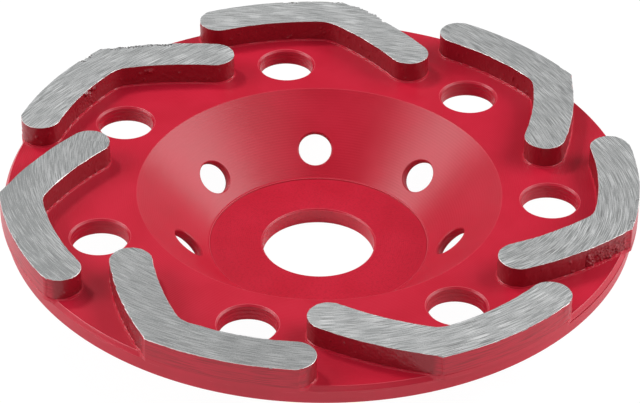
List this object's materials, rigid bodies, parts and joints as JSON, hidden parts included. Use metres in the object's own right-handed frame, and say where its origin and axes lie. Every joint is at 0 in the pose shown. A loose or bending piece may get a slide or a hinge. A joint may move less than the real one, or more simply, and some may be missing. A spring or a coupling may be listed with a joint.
{
  "type": "diamond cup wheel",
  "caption": "Dished steel grinding wheel with a plain round bore, holes through its flange and cone, and bent diamond segments standing on its rim.",
  "frame": {"origin": "centre of the bore on the hub's back face, which is the lowest face", "axes": "+Z along the bore from the hub's back face towards the segments, +X through the centre of one flange hole"},
  "size_m": [0.1243, 0.125, 0.0212],
  "materials": {
    "coated_steel": "red powder coat, satin to glossy",
    "sintered_segment": "bare ground top, with the red coat on the sides"
  },
  "bodies": {
    "root": {"cup_body": "coated_steel", "diamond_segment_1": "sintered_segment", "diamond_segment_2": "sintered_segment", "diamond_segment_3": "sintered_segment", "diamond_segment_4": "sintered_segment", "diamond_segment_5": "sintered_segment", "diamond_segment_6": "sintered_segment", "diamond_segment_7": "sintered_segment"}
  },
  "joints": []
}
